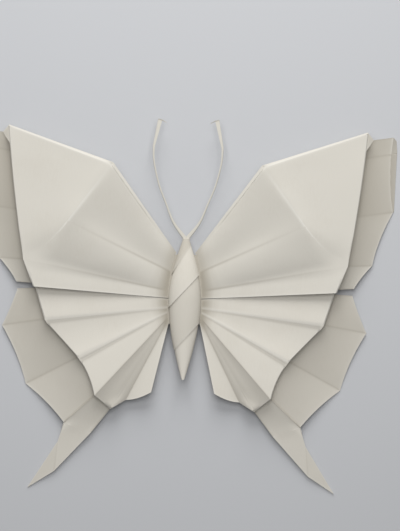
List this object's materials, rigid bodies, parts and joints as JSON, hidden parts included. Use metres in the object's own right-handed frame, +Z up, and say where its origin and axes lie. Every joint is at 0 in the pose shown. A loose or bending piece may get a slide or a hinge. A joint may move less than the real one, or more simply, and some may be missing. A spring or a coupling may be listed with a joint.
{
  "type": "paper butterfly",
  "caption": "Swallowtail butterfly folded from plain off-white paper: pleated forewings and hindwings with stepped scalloped borders, a spirally wound body and slim folded antennae.",
  "frame": {"origin": "on the table, under the thickest part of the body, at the middle of its flat underside", "axes": "+X towards the right wing tip, +Y towards the head, +Z up from the table"},
  "size_m": [0.1686, 0.1493, 0.0123],
  "materials": {
    "forewings": "matte, uncoated",
    "hindwings": "matte, uncoated",
    "body_wrap": "matte, uncoated",
    "antennae": "matte, uncoated"
  },
  "bodies": {
    "root": {"forewings": "forewings", "hindwings": "hindwings", "body_wrap": "body_wrap", "antennae": "antennae"}
  },
  "joints": []
}
